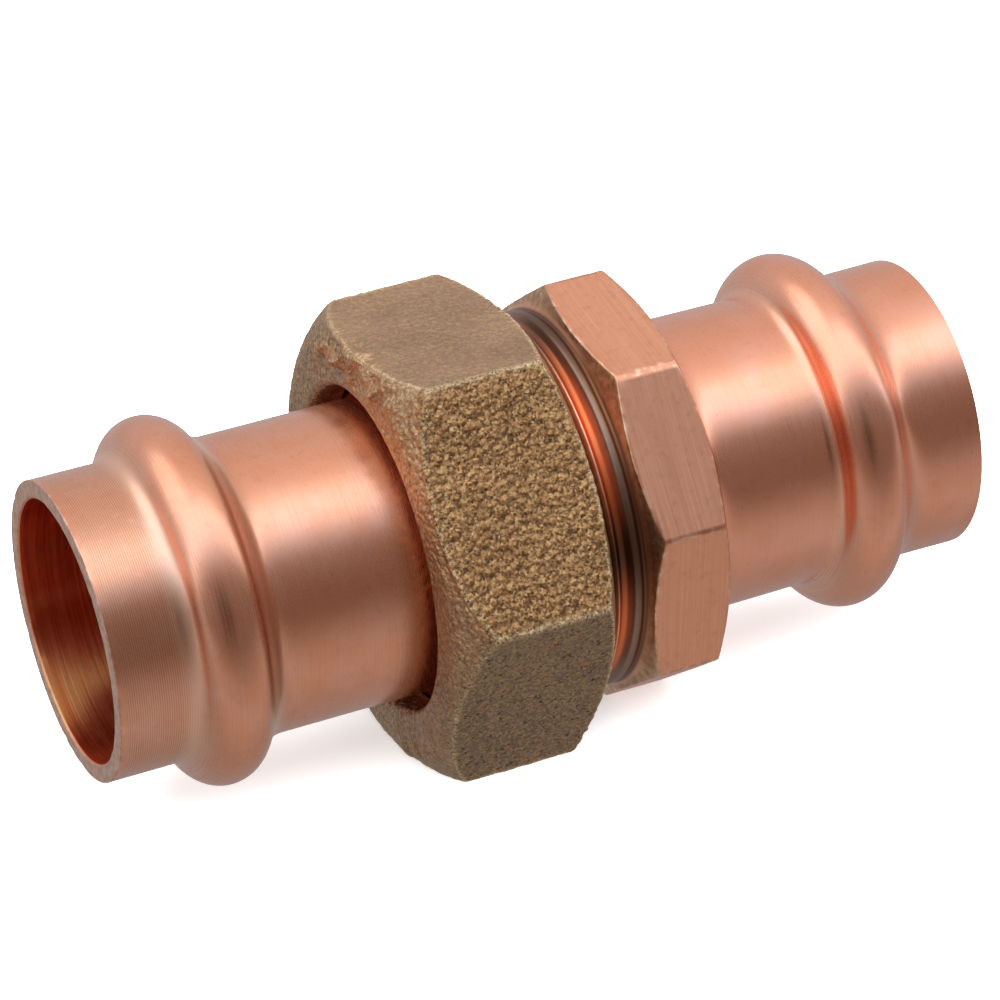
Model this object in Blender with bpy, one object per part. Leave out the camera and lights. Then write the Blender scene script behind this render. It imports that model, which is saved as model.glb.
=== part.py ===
"""Press by press pipe union for 3/4 in nominal copper tube (22.2 mm outside diameter).

The union lies along +X.  The tail mouth is at the -X end and the threaded end's mouth is at
the +X end.  One flat of the union nut faces straight down.  Each solid is drawn about a lathe
axis on +Z, from the tail mouth upwards, and is then laid down along +X.
"""
import math

import bmesh
import bpy
from mathutils import Matrix, Vector

MM = 0.001
NAME = "pipe_union"

# Driving dimensions, in millimetres.  Axial stations are measured from the tail mouth.
TUBE_RADIUS = 22.22 / 2
LENGTH = 78.2
GAP = 0.3                      # clearance between pieces that touch on the real object
SEGMENTS = 36                  # facets round every turned surface
FILLET_STEPS = 2               # straight runs in a small fillet
ROLL_STEPS = 9
GROOVE_STEPS = 5
SEAL_STEPS = 10
SOCKET_RADIUS = TUBE_RADIUS + 0.09
WALL = 1.5
BARREL_RADIUS = SOCKET_RADIUS + WALL
PILOT_RADIUS = BARREL_RADIUS + 0.06
SOCKET_DEPTH = 23.0
WATERWAY_RADIUS = 10.2
EDGE_BREAK = 0.25              # small chamfer on the machined collar
MOUTH_BREAK = 0.12             # burr taken off the sawn mouths

# Rolled bead that holds the seal ring.
TAIL_BEAD_AT = 10.1
END_BEAD_AT = LENGTH - 10.5
BEAD_ROLL_RADIUS = 3.1
BEAD_CREST_RADIUS = 15.65
BEAD_ROLL_CENTRE = BEAD_CREST_RADIUS - BEAD_ROLL_RADIUS
BEAD_FILLET = 1.6
SEAL_SECTION_RADIUS = 1.4
SEAL_RING_RADIUS = TUBE_RADIUS - 0.01 + SEAL_SECTION_RADIUS
SEAL_GROOVE_HALF_WIDTH = SEAL_SECTION_RADIUS + GAP + 0.05

# Union nut: a cast hexagon, dressed with a turned cone at each end.
NUT_BACK = 26.8
NUT_FRONT = 41.3
NUT_HALF_FLATS = 18.17
NUT_EDGE_ROUND = 0.8
NUT_HOLE_RADIUS = 14.0
NUT_WEB = 3.0
NUT_SHOULDER = NUT_BACK + NUT_WEB

# Thread: right handed, one start.
PITCH = 2.0
THREAD_CREST_RADIUS = 16.0
THREAD_ROOT_RADIUS = 15.1
CREST_WIDTH = 0.35
FLANK_SLOPE = math.tan(math.radians(30))

# Collar on the tailpiece, with the ground ball that meets the cone in the threaded end.
COLLAR_BACK = NUT_SHOULDER + GAP
COLLAR_FRONT = COLLAR_BACK + 2.0
COLLAR_RADIUS = 15.0
BALL_RADIUS = 20.0
BALL_START_RADIUS = 14.6
NOSE_RADIUS = 11.7
SEAT_CONTACT_RADIUS = 13.2

# Threaded end: spigot, shoulder, necked ring and the eight-sided wrench part.
SPIGOT_SEAT_MOUTH_RADIUS = 14.5
THREAD_RELIEF_START = 40.2
SHOULDER_BACK = NUT_FRONT + GAP + 0.05
SHOULDER_FRONT = 42.35
SHOULDER_RADIUS = 16.36
OCTAGON_BACK = 45.0
OCTAGON_FRONT = 52.1
OCTAGON_HALF_FLATS = 17.05
OCTAGON_EDGE_BREAK = 0.25
OCTAGON_TURN = math.radians(-9.5)  # its lowest corner stands this far round from straight down
BARREL_ROOT_FILLET = 3.0

MATERIALS = {
    "wrought_copper": ((0.72, 0.36, 0.24, 1.0), 1.0, 0.32),
    "machined_copper": ((0.66, 0.36, 0.27, 1.0), 1.0, 0.42),
    "cast_bronze": ((0.40, 0.30, 0.19, 1.0), 1.0, 0.60),
    "seal_rubber": ((0.02, 0.02, 0.02, 1.0), 0.0, 0.70),
}


def clear_file():
    """Start from an empty file."""
    for item in list(bpy.data.objects):
        bpy.data.objects.remove(item, do_unlink=True)


def make_collection(name):
    """A collection linked under the scene."""
    group = bpy.data.collections.new(name)
    bpy.context.scene.collection.children.link(group)
    return group


def make_material(name):
    """One Principled material from the table above."""
    colour, metallic, roughness = MATERIALS[name]
    material = bpy.data.materials.new(name)
    material.use_nodes = True
    shader = material.node_tree.nodes["Principled BSDF"]
    shader.inputs["Base Color"].default_value = colour
    shader.inputs["Metallic"].default_value = metallic
    shader.inputs["Roughness"].default_value = roughness
    return material


def mesh_object(name, bm, group):
    """Turn a bmesh into an object with its faces looking outwards."""
    bmesh.ops.recalc_face_normals(bm, faces=bm.faces[:])
    mesh = bpy.data.meshes.new(name)
    bm.to_mesh(mesh)
    bm.free()
    item = bpy.data.objects.new(name, mesh)
    group.objects.link(item)
    return item


def turned(name, profile, group, turn=0.0):
    """Spin a profile of (station, radius) points about the lathe axis.

    Points on the axis are shared, so a profile may be a closed ring or may run axis to axis.
    """
    bm = bmesh.new()
    on_axis = profile[0][1] == 0.0
    start = Matrix.Rotation(turn, 3, "Z")
    verts = [bm.verts.new(start @ Vector((radius * MM, 0, station * MM)))
             for station, radius in profile]
    edges = [bm.edges.new(pair) for pair in zip(verts, verts[1:])]
    if not on_axis:
        edges.append(bm.edges.new((verts[-1], verts[0])))
    bmesh.ops.spin(bm, geom=verts + edges, cent=(0, 0, 0), axis=(0, 0, 1), dvec=(0, 0, 0),
                   angle=math.tau, steps=SEGMENTS, use_merge=True, use_duplicate=False)
    bmesh.ops.remove_doubles(bm, verts=bm.verts[:], dist=1e-6)
    return mesh_object(name, bm, group)


def arc(centre, radius, start, stop, steps):
    """Points of an arc on the profile; angles in degrees from the +station direction."""
    points = []
    for index in range(steps + 1):
        angle = math.radians(start + (stop - start) * index / steps)
        points.append((centre[0] + radius * math.cos(angle), centre[1] + radius * math.sin(angle)))
    return points


def rolled_bead(at, back_radius, front_radius):
    """Outline of the bead over its seal ring, with a hollow fillet at each foot."""
    points = []
    for side, foot in ((-1, back_radius), (1, front_radius)):
        fillet_height = foot + BEAD_FILLET
        reach = math.sqrt((BEAD_ROLL_RADIUS + BEAD_FILLET) ** 2
                          - (fillet_height - BEAD_ROLL_CENTRE) ** 2)
        lean = math.degrees(math.atan2(fillet_height - BEAD_ROLL_CENTRE, reach))
        fillet = arc((at + side * reach, fillet_height), BEAD_FILLET, 270,
                     270 - side * (90 - lean), FILLET_STEPS)
        if side < 0:
            roll = arc((at, BEAD_ROLL_CENTRE), BEAD_ROLL_RADIUS, 180 - lean, lean, ROLL_STEPS)
            points += fillet[:-1] + roll
        else:
            points += fillet[-2::-1]
    return points


def seal_groove(at):
    """Outline of the groove inside the bead, open to the socket."""
    low = SOCKET_RADIUS
    shoulder = SEAL_RING_RADIUS + 0.1
    half = SEAL_GROOVE_HALF_WIDTH
    return ([(at - half, low)] + arc((at, shoulder), half, 180, 0, GROOVE_STEPS) + [(at + half, low)])


def mouth(at, inward):
    """Outline of a socket mouth from outside to inside; inward is +1 or -1 along the axis."""
    return [(at + inward * MOUTH_BREAK, PILOT_RADIUS),
            (at, PILOT_RADIUS - MOUTH_BREAK),
            (at, SOCKET_RADIUS + MOUTH_BREAK),
            (at + inward * MOUTH_BREAK, SOCKET_RADIUS)]


def ball_station(radius):
    """Where the ground ball reaches a given radius."""
    centre = COLLAR_FRONT - math.sqrt(BALL_RADIUS ** 2 - BALL_START_RADIUS ** 2)
    return centre + math.sqrt(BALL_RADIUS ** 2 - radius ** 2)


def seat_station(radius):
    """Where the seat cone, standing off the ball by the clearance, reaches a given radius."""
    run = math.sqrt(BALL_RADIUS ** 2 - SEAT_CONTACT_RADIUS ** 2)
    contact = (ball_station(SEAT_CONTACT_RADIUS) + GAP * run / BALL_RADIUS,
               SEAT_CONTACT_RADIUS + GAP * SEAT_CONTACT_RADIUS / BALL_RADIUS)
    return contact[0] + (contact[1] - radius) * SEAT_CONTACT_RADIUS / run


def make_tailpiece(group):
    """Press socket, bead, barrel and collar with the ground ball, all in one turned piece."""
    outside = mouth(0.0, 1)[:1] + rolled_bead(TAIL_BEAD_AT, PILOT_RADIUS, BARREL_RADIUS)
    collar = [(COLLAR_BACK - 1.0, BARREL_RADIUS), (COLLAR_BACK, BARREL_RADIUS + 0.6),
              (COLLAR_BACK, COLLAR_RADIUS - EDGE_BREAK), (COLLAR_BACK + EDGE_BREAK, COLLAR_RADIUS),
              (COLLAR_FRONT - EDGE_BREAK, COLLAR_RADIUS)]
    steps = 5
    radii = [BALL_START_RADIUS + (NOSE_RADIUS - BALL_START_RADIUS) * k / steps
             for k in range(steps + 1)]
    ball = [(ball_station(radius), radius) for radius in radii]
    nose = [(ball_station(NOSE_RADIUS), WATERWAY_RADIUS)]
    stop = [(SOCKET_DEPTH + SOCKET_RADIUS - WATERWAY_RADIUS, WATERWAY_RADIUS),
            (SOCKET_DEPTH, SOCKET_RADIUS)]
    groove = seal_groove(TAIL_BEAD_AT)[::-1]
    entry = mouth(0.0, 1)[:0:-1]
    return turned("tailpiece", outside + collar + ball + nose + stop + groove + entry, group)


def thread_ridge(name, crest_radius, crest_width, foot_radius, first, last, group):
    """A helical ridge, right handed about the lathe axis, that narrows towards its crest."""
    foot_width = crest_width + 2 * abs(crest_radius - foot_radius) * FLANK_SLOPE
    half_step = math.pi / SEGMENTS
    bm = bmesh.new()
    start = Matrix.Rotation(half_step, 3, "Z")
    phase = first + PITCH * half_step / math.tau
    corners = [(foot_radius, -foot_width / 2), (foot_radius, foot_width / 2),
               (crest_radius, crest_width / 2), (crest_radius, -crest_width / 2)]
    verts = [bm.verts.new(start @ Vector((radius * MM, 0, (phase + rise) * MM)))
             for radius, rise in corners]
    face = bm.faces.new(verts)
    steps = round((last - first) / PITCH * SEGMENTS)
    result = bmesh.ops.spin(bm, geom=[face], cent=(0, 0, 0), axis=(0, 0, 1),
                            dvec=(0, 0, PITCH * MM / SEGMENTS), angle=math.tau * steps / SEGMENTS,
                            steps=steps, use_merge=False, use_duplicate=False)
    del result
    return mesh_object(name, bm, group)


def prism(name, sides, half_flats, back, front, turn, group):
    """A many-sided bar; turn is measured from the direction that ends up pointing down."""
    radius = half_flats / math.cos(math.pi / sides)
    bm = bmesh.new()
    bmesh.ops.create_cone(bm, cap_ends=True, cap_tris=False, segments=sides,
                          radius1=radius * MM, radius2=radius * MM, depth=(front - back) * MM)
    corner = max(bm.verts, key=lambda vert: vert.co.x)
    offset = math.atan2(corner.co.y, corner.co.x)
    bmesh.ops.rotate(bm, verts=bm.verts[:], cent=(0, 0, 0),
                     matrix=Matrix.Rotation(turn - offset, 3, "Z"))
    bmesh.ops.translate(bm, verts=bm.verts[:], vec=(0, 0, (front + back) / 2 * MM))
    return mesh_object(name, bm, group)


def round_long_edges(item, width, segments):
    """Round the long edges of a prism."""
    bm = bmesh.new()
    bm.from_mesh(item.data)
    edges = [edge for edge in bm.edges
             if abs(edge.verts[0].co.z - edge.verts[1].co.z) > MM]
    bmesh.ops.bevel(bm, geom=edges, offset=width * MM, offset_type="OFFSET",
                    segments=segments, profile=0.5, affect="EDGES")
    bm.to_mesh(item.data)
    bm.free()


def combine(item, other, operation):
    """One exact boolean, worked out at once."""
    step = item.modifiers.new(other.name, "BOOLEAN")
    step.operation = operation
    step.solver = "EXACT"
    step.object = other
    bpy.context.view_layer.update()
    ready = item.evaluated_get(bpy.context.evaluated_depsgraph_get())
    mesh = bpy.data.meshes.new_from_object(ready)
    item.modifiers.clear()
    item.data = mesh


def make_nut(group, tools):
    """Cast hexagon nut with a web at the back and an inside thread at the front."""
    nut = prism("union_nut", 6, NUT_HALF_FLATS, NUT_BACK, NUT_FRONT, math.radians(30), group)
    round_long_edges(nut, NUT_EDGE_ROUND, 3)
    corner = NUT_HALF_FLATS / math.cos(math.radians(30))
    clear = corner + 1.0
    dressing = turned("nut_dressing", [
        (NUT_BACK - 1.0, 0.0), (NUT_BACK - 1.0, NUT_HALF_FLATS - 1.4),
        (NUT_BACK, NUT_HALF_FLATS - 1.1), (NUT_BACK + 0.35, NUT_HALF_FLATS),
        (NUT_BACK + 0.95, NUT_HALF_FLATS + 1.1), (NUT_BACK + 1.7, NUT_HALF_FLATS + 1.95),
        (NUT_BACK + 2.9, corner), (NUT_BACK + 3.4, clear), (NUT_FRONT - 2.5, clear),
        (NUT_FRONT - 1.8, corner), (NUT_FRONT - 0.75, NUT_HALF_FLATS + 1.0),
        (NUT_FRONT, NUT_HALF_FLATS - 0.25), (NUT_FRONT + 1.0, NUT_HALF_FLATS - 1.9),
        (NUT_FRONT + 1.0, 0.0)], tools)
    combine(nut, dressing, "INTERSECT")
    minor = THREAD_ROOT_RADIUS + GAP
    major = THREAD_CREST_RADIUS + GAP
    relief = NUT_SHOULDER + 0.9
    relief_end = relief + 1.9
    bore = turned("nut_bore", [
        (NUT_BACK - 2.0, 0.0), (NUT_BACK - 2.0, NUT_HOLE_RADIUS + 0.4),
        (NUT_BACK, NUT_HOLE_RADIUS + 0.4), (NUT_BACK + 0.5, NUT_HOLE_RADIUS),
        (NUT_SHOULDER, NUT_HOLE_RADIUS), (NUT_SHOULDER, minor), (relief, minor),
        (relief + 0.5, major + 0.2), (relief_end - 0.5, major + 0.2), (relief_end, minor),
        (NUT_FRONT - 0.7, minor), (NUT_FRONT + 0.3, minor + 1.0), (NUT_FRONT + 2.0, minor + 1.0),
        (NUT_FRONT + 2.0, 0.0)], tools)
    combine(nut, bore, "DIFFERENCE")
    widen = 2 * GAP / math.cos(math.radians(30))
    crest = CREST_WIDTH + widen - 2 * GAP * FLANK_SLOPE
    groove = thread_ridge("nut_thread", major, crest, minor - 0.3,
                          relief + 0.9, NUT_FRONT + PITCH, tools)
    combine(nut, groove, "DIFFERENCE")
    return nut


def make_threaded_end(group, tools):
    """Threaded spigot with the seat cone, eight-sided wrench part, barrel, bead and socket."""
    spigot_face = seat_station(SPIGOT_SEAT_MOUTH_RADIUS)
    root = THREAD_ROOT_RADIUS
    fillet = arc((OCTAGON_FRONT + BARREL_ROOT_FILLET - 0.02, BARREL_RADIUS + BARREL_ROOT_FILLET),
                 BARREL_ROOT_FILLET, 180, 270, 4)
    neck = [(SHOULDER_BACK, SHOULDER_RADIUS), (SHOULDER_FRONT, SHOULDER_RADIUS),
            (SHOULDER_FRONT + 0.25, 15.5), (SHOULDER_FRONT + 0.7, 15.3),
            (SHOULDER_FRONT + 1.2, 15.7), (SHOULDER_FRONT + 1.65, 16.4),
            (SHOULDER_FRONT + 2.0, 16.66), (SHOULDER_FRONT + 2.35, 16.66),
            (OCTAGON_BACK - 0.05, 16.45), (OCTAGON_BACK + 0.6, 16.2),
            (OCTAGON_FRONT - 1.0, 16.2), (OCTAGON_FRONT - 1.0, fillet[0][1])]
    body = turned("threaded_end", [
        (spigot_face, 0.0), (spigot_face, root - 0.3), (spigot_face + 0.3, root),
        (THREAD_RELIEF_START, root), (THREAD_RELIEF_START + 0.4, root - 0.1),
        (SHOULDER_BACK, root - 0.1)] + neck + fillet
        + rolled_bead(END_BEAD_AT, BARREL_RADIUS, PILOT_RADIUS)
        + mouth(LENGTH, -1)[:2] + [(LENGTH, 0.0)], group)
    octagon = prism("wrench_part", 8, OCTAGON_HALF_FLATS, OCTAGON_BACK - 0.4, OCTAGON_FRONT,
                    OCTAGON_TURN, tools)
    round_long_edges(octagon, OCTAGON_EDGE_BREAK, 1)
    corner = OCTAGON_HALF_FLATS / math.cos(math.radians(22.5))
    dressing = turned("wrench_part_dressing", [
        (OCTAGON_BACK - 1.0, 0.0), (OCTAGON_BACK - 0.3, 15.4), (OCTAGON_BACK, 16.5),
        (OCTAGON_BACK + 0.95, corner), (OCTAGON_BACK + 1.3, corner + 0.7),
        (OCTAGON_FRONT - 1.15, corner + 0.7), (OCTAGON_FRONT - 0.8, corner),
        (OCTAGON_FRONT, OCTAGON_HALF_FLATS - 0.15), (OCTAGON_FRONT + 1.0, 15.0),
        (OCTAGON_FRONT + 1.0, 0.0)], tools)
    combine(octagon, dressing, "INTERSECT")
    combine(body, octagon, "UNION")
    ridge = thread_ridge("spigot_thread", THREAD_CREST_RADIUS, CREST_WIDTH, root - 0.3,
                         spigot_face - 1.0, THREAD_RELIEF_START + 0.6, tools)
    envelope = turned("thread_envelope", [
        (spigot_face + 0.15, 0.0), (spigot_face + 0.15, root - 0.2),
        (spigot_face + 1.4, THREAD_CREST_RADIUS + 0.3),
        (THREAD_RELIEF_START - 0.6, THREAD_CREST_RADIUS + 0.3),
        (THREAD_RELIEF_START + 0.5, root - 0.2), (THREAD_RELIEF_START + 0.5, 0.0)], tools)
    combine(ridge, envelope, "INTERSECT")
    combine(body, ridge, "UNION")
    low = WATERWAY_RADIUS
    stop = LENGTH - SOCKET_DEPTH
    bore = turned("end_bore", [
        (spigot_face - 1.0, 0.0), (spigot_face - 1.0, SPIGOT_SEAT_MOUTH_RADIUS + 1.138),
        (seat_station(low), low), (stop - (SOCKET_RADIUS - low), low), (stop, SOCKET_RADIUS)]
        + seal_groove(END_BEAD_AT)
        + [(LENGTH - MOUTH_BREAK, SOCKET_RADIUS),
           (LENGTH + 1.0, SOCKET_RADIUS + MOUTH_BREAK + 1.0),
           (LENGTH + 1.0, 0.0)], tools)
    combine(body, bore, "DIFFERENCE")
    return body


def make_seal(name, at, group):
    """Seal ring that lies in the bead and closes on the tube."""
    section = arc((at, SEAL_RING_RADIUS), SEAL_SECTION_RADIUS, 0, 360, SEAL_STEPS)[:-1]
    return turned(name, section, group)


def lay_down(item):
    """Lay a solid along +X with the union's middle at the origin."""
    item.data.transform(Matrix.Rotation(math.radians(90), 4, "Y"))
    item.data.transform(Matrix.Translation((-LENGTH / 2 * MM, 0, 0)))


def finish(item, material):
    """Material, smooth shading on the round faces and sharp edges elsewhere."""
    item.data.materials.clear()
    item.data.materials.append(material)
    item.data.shade_smooth()
    item.data.set_sharp_from_angle(angle=math.radians(25))


def main():
    clear_file()
    group = make_collection(NAME)
    tools = make_collection(NAME + "_cutters")
    tail = make_tailpiece(group)
    nut = make_nut(group, tools)
    end = make_threaded_end(group, tools)
    tail_seal = make_seal("tail_seal_ring", TAIL_BEAD_AT, group)
    end_seal = make_seal("threaded_end_seal_ring", END_BEAD_AT, group)
    for tool in list(tools.objects):
        lay_down(tool)
        tool.hide_render = True
        tool.display_type = "WIRE"
    dressed = ((tail, "wrought_copper"), (nut, "cast_bronze"), (end, "machined_copper"),
               (tail_seal, "seal_rubber"), (end_seal, "seal_rubber"))
    for item, material in dressed:
        lay_down(item)
        finish(item, bpy.data.materials.get(material) or make_material(material))


main()
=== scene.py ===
"""Press-end copper pipe union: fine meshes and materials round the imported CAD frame."""
import math

import bpy
import numpy as np
from mathutils import Matrix, Vector


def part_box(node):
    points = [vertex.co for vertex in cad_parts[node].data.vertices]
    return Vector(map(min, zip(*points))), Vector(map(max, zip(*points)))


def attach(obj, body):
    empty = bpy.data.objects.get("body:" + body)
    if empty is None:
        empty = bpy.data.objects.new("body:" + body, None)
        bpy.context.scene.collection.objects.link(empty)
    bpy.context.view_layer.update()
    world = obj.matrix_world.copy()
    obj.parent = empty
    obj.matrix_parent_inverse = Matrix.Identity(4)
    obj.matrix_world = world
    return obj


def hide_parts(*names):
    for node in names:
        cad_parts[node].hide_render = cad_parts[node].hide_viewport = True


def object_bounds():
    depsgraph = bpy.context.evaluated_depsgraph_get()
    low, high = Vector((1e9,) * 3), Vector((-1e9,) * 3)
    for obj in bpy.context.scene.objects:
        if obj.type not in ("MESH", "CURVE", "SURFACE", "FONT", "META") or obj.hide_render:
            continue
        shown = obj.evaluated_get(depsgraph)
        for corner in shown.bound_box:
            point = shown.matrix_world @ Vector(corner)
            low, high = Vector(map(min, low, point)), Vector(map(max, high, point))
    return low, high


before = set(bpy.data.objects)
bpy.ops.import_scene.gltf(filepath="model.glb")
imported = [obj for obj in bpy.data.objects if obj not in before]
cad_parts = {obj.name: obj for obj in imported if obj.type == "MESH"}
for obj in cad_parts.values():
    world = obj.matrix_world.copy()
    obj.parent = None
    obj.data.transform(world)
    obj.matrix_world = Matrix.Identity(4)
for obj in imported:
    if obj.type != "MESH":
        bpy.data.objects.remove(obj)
CAD_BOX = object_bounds()

MM = 0.001
TAU = math.tau

# The frame's own places, in millimetres from the tail mouth.
TAIL_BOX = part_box("tailpiece")
END_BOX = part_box("threaded_end")
NUT_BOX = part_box("union_nut")
ORIGIN = -TAIL_BOX[0].x / MM
LENGTH = END_BOX[1].x / MM + ORIGIN
NUT_BACK = NUT_BOX[0].x / MM + ORIGIN
NUT_FRONT = NUT_BOX[1].x / MM + ORIGIN
NUT_HALF_FLATS = NUT_BOX[1].z / MM
SPIGOT_FACE = END_BOX[0].x / MM + ORIGIN
NOSE = TAIL_BOX[1].x / MM + ORIGIN

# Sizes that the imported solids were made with, in millimetres.
SOCKET_RADIUS = 11.2
BARREL_RADIUS = 12.7
PILOT_RADIUS = 12.78
WATERWAY_RADIUS = 10.2
SOCKET_DEPTH = 23.0
COLLAR_FACE = 32.1
BALL_RADIUS = 20.0
BALL_FOOT = 14.6
TAIL_BEAD_ROLL = 3.14
TAIL_BEAD_CREST = 15.66
END_BEAD_ROLL = 2.92
END_BEAD_CREST = 15.60
TAIL_BEAD_AT = 10.12
END_BEAD_AT = LENGTH - 10.5
SEAL_SECTION = 1.4
SEAL_RADIUS = 12.5
PITCH = 2.0
THREAD_CREST = 16.0
THREAD_ROOT = 15.1
THREAD_GAP = 0.3
THREAD_START = 31.75
OCTAGON_BACK = 45.0
OCTAGON_FRONT = 52.1
OCTAGON_HALF_FLATS = 17.05
OCTAGON_TIP = OCTAGON_HALF_FLATS / math.cos(TAU / 16)
OCTAGON_CORNER_TURN = -9.5
NUT_HOLE_RADIUS = 14.0

# Radii where the wrench part's chamfers start, and how steeply each one runs.
BACK_FOOT = 16.5
FRONT_FOOT = OCTAGON_HALF_FLATS - 0.15
BACK_SLOPE = 0.95 / (OCTAGON_TIP - BACK_FOOT)
FRONT_SLOPE = 0.8 / (OCTAGON_TIP - FRONT_FOOT)

# Where the visual thread ends, and how wide its ridge and the nut's groove are.
THREAD_END = 40.8
CREST_WIDTH = 0.375
GROOVE_WIDTH = 0.70
# Spacing of the fine lines that the lathe left on the tail pilot.
GROOVE_PITCH = 0.19


# ---- outlines

def arc(centre, radius, start, stop, step=6.0):
    """Points of an arc; angles in degrees from the +station direction."""
    count = max(2, math.ceil(abs(stop - start) / step))
    angles = np.radians(np.linspace(start, stop, count + 1))
    return [(centre[0] + radius * math.cos(a), centre[1] + radius * math.sin(a)) for a in angles]


def softened(points, step=12.0):
    """Replace each (station, radius, fillet) corner by a small tangent arc."""
    path = []
    for index, point in enumerate(points):
        fillet = point[2] if len(point) > 2 else 0.0
        if fillet == 0.0 or index in (0, len(points) - 1):
            path.append(point[:2])
            continue
        here = np.array(point[:2])
        back = np.array(points[index - 1][:2]) - here
        ahead = np.array(points[index + 1][:2]) - here
        back_length = np.linalg.norm(back)
        ahead_length = np.linalg.norm(ahead)
        back = back / back_length
        ahead = ahead / ahead_length
        half = 0.5 * math.acos(float(np.clip(back @ ahead, -1, 1)))
        cut = min(fillet / math.tan(half), 0.48 * back_length, 0.48 * ahead_length)
        count = max(2, math.ceil(math.degrees(math.pi - 2 * half) / step))
        first = here + back * cut
        last = here + ahead * cut
        middle = here + (back + ahead) / np.linalg.norm(back + ahead) * cut / math.cos(half)
        radius = cut * math.tan(half)
        start = math.atan2(*(first - middle)[::-1])
        sweep = math.atan2(*(last - middle)[::-1]) - start
        sweep = (sweep + math.pi) % TAU - math.pi
        for k in range(count + 1):
            a = start + sweep * k / count
            path.append((middle[0] + radius * math.cos(a), middle[1] + radius * math.sin(a)))
    return path


def divided(path, longest=0.5, closed=False):
    """Split long straight runs, so fine relief has points to move."""
    result = []
    ahead_of = path[1:] + path[:1] if closed else path[1:]
    for here, ahead in zip(path, ahead_of):
        result.append(here)
        length = math.dist(here, ahead)
        pieces = max(1, math.ceil(length / longest))
        for k in range(1, pieces):
            result.append((here[0] + (ahead[0] - here[0]) * k / pieces,
                           here[1] + (ahead[1] - here[1]) * k / pieces))
    if not closed:
        result.append(path[-1])
    return [p for i, p in enumerate(result) if math.dist(p, result[i - 1]) > 1e-4]


def bead(at, crest, roll, back, front, step=5.0):
    """Rolled bead; back and front are the (radius, fillet) of the wall at each foot."""
    centre = crest - roll
    back_radius, back_fillet = back
    front_radius, front_fillet = front

    def foot(level, fillet):
        rise = level + fillet - centre
        reach = math.sqrt((roll + fillet) ** 2 - rise ** 2)
        return reach, math.degrees(math.atan2(rise, reach))

    back_reach, back_lean = foot(back_radius, back_fillet)
    front_reach, front_lean = foot(front_radius, front_fillet)
    path = arc((at - back_reach, back_radius + back_fillet), back_fillet, 270, 360 - back_lean, 7)
    path += arc((at, centre), roll, 180 - back_lean, front_lean, step)[1:-1]
    path += arc((at + front_reach, front_radius + front_fillet), front_fillet,
                180 + front_lean, 270, 6)
    return path


def seal_groove(at):
    """Groove inside the bead, open to the socket."""
    half = SEAL_SECTION + 0.35
    low = SOCKET_RADIUS
    edge = 0.2
    return ([(at - half - edge, low), (at - half, low + edge)]
            + arc((at, SEAL_RADIUS + 0.1), half, 180, 0, 12) + [(at + half, low + edge),
                                                               (at + half + edge, low)])


def ball_station(radius):
    """Where the ground ball on the collar reaches a radius."""
    centre = COLLAR_FACE - math.sqrt(BALL_RADIUS ** 2 - BALL_FOOT ** 2)
    return centre + math.sqrt(BALL_RADIUS ** 2 - radius ** 2)


# ---- meshes

def linked(name, data):
    """A new object in the scene."""
    item = bpy.data.objects.new(name, data)
    bpy.context.scene.collection.objects.link(item)
    return item


def lattice(points, period, seed):
    """Smooth repeatable noise in -1..1 at points given in millimetres."""
    size = 48
    table = np.random.default_rng(seed).uniform(-1, 1, (size, size, size))
    scaled = points / period + 500.0
    cell = np.floor(scaled).astype(int)
    part = scaled - cell
    part = part * part * (3 - 2 * part)
    total = np.zeros(len(points))
    for corner in np.ndindex(2, 2, 2):
        weight = np.where(corner, part, 1 - part).prod(axis=1)
        total += weight * table[tuple((cell + corner).T % size)]
    return total


class Lathed:
    """A closed skin of rows (stations by radii) and columns (angles from the top)."""

    def __init__(self, stations, radii, angles):
        self.rows, self.columns = radii.shape
        self.stations = stations
        self.radii = radii
        self.angles = angles
        turn = np.broadcast_to(angles, radii.shape)
        self.points = np.stack([stations, -radii * np.sin(turn), radii * np.cos(turn)], -1)
        self.values = {}

    def normals(self):
        """Outward directions from the neighbours in the grid."""
        along = np.roll(self.points, -1, 0) - np.roll(self.points, 1, 0)
        around = np.roll(self.points, -1, 1) - np.roll(self.points, 1, 1)
        normal = np.cross(around, along)
        return normal / np.maximum(np.linalg.norm(normal, axis=-1, keepdims=True), 1e-9)

    def noise(self, period, seed):
        """Lattice noise at every point of the grid."""
        return lattice(self.points.reshape(-1, 3), period, seed).reshape(self.radii.shape)

    def push(self, distance):
        """Move every point along its own normal by millimetres."""
        self.points = self.points + self.normals() * distance[..., None]

    def make(self, name):
        """The object, in metres, in the row frame."""
        verts = self.points.reshape(-1, 3) - np.array([ORIGIN, 0.0, 0.0])
        index = np.arange(self.rows * self.columns).reshape(self.rows, self.columns)
        below = np.roll(index, -1, 0)
        faces = np.stack([index, np.roll(index, -1, 1), np.roll(below, -1, 1), below], -1)
        mesh = bpy.data.meshes.new(name)
        mesh.vertices.add(len(verts))
        mesh.vertices.foreach_set("co", (verts * MM).astype(np.float32).ravel())
        flat = faces.reshape(-1, 4)
        mesh.loops.add(flat.size)
        mesh.loops.foreach_set("vertex_index", flat.ravel().astype(np.int32))
        mesh.polygons.add(len(flat))
        mesh.polygons.foreach_set("loop_start", np.arange(0, flat.size, 4, dtype=np.int32))
        mesh.update(calc_edges=True)
        for key, value in self.values.items():
            layer = mesh.attributes.new(key, "FLOAT", "POINT")
            layer.data.foreach_set("value", value.astype(np.float32).ravel())
        mesh.validate()
        mesh.shade_smooth()
        mesh.set_sharp_from_angle(angle=math.radians(38))
        return linked(name, mesh)


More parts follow.
